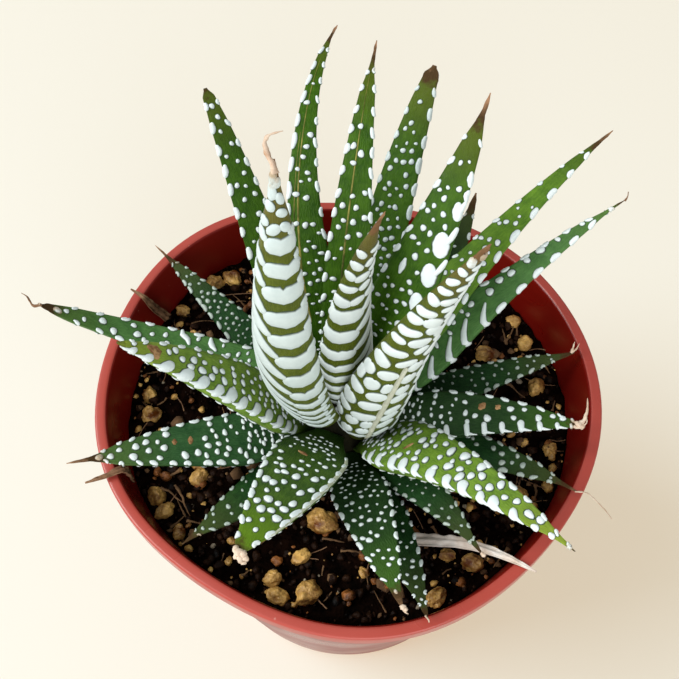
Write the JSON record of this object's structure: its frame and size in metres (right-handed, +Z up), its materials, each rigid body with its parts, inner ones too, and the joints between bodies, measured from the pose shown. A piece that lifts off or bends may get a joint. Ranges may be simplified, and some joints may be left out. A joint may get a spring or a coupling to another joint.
{
  "type": "potted haworthia",
  "caption": "Young zebra haworthia, a rosette of pointed succulent leaves banded and dotted with white, standing in soil in a tapered nursery pot.",
  "frame": {"origin": "middle of the flat base of the pot, on the surface that it stands on", "axes": "+Z up along the pot's axis; -Y towards the side of the plant that shows its short front leaves; +X to the right seen from there"},
  "size_m": [0.1028, 0.1018, 0.1479],
  "materials": {
    "pot_plastic": "satin",
    "potting_soil": "matte",
    "stem_green": "satin",
    "heart_leaf": "satin",
    "bright_leaf": "satin",
    "mid_leaf": "satin",
    "deep_leaf": "satin",
    "dry_leaf": "matte"
  },
  "bodies": {
    "root": {"pot": "pot_plastic", "soil": "potting_soil", "stem": "stem_green", "leaf_heart_left": "heart_leaf", "leaf_heart_front": "heart_leaf", "leaf_heart_right": "heart_leaf", "leaf_back_1": "mid_leaf", "leaf_back_2": "mid_leaf", "leaf_back_3": "mid_leaf", "leaf_back_4": "mid_leaf", "leaf_back_5": "mid_leaf", "leaf_back_6": "bright_leaf", "leaf_back_7": "deep_leaf", "leaf_back_8": "deep_leaf", "leaf_left_1": "deep_leaf", "leaf_left_2": "mid_leaf", "leaf_left_3": "bright_leaf", "leaf_left_4": "deep_leaf", "leaf_left_5": "deep_leaf", "leaf_front_1": "bright_leaf", "leaf_front_2": "mid_leaf", "leaf_front_3": "deep_leaf", "leaf_front_4": "deep_leaf", "leaf_right_1": "bright_leaf", "leaf_right_2": "deep_leaf", "leaf_right_3": "deep_leaf", "leaf_right_4": "deep_leaf", "leaf_rear_1": "deep_leaf", "leaf_rear_2": "deep_leaf", "dry_leaf_left": "dry_leaf", "dry_straw_left": "dry_leaf", "dry_straw_right": "dry_leaf"}
  },
  "joints": []
}
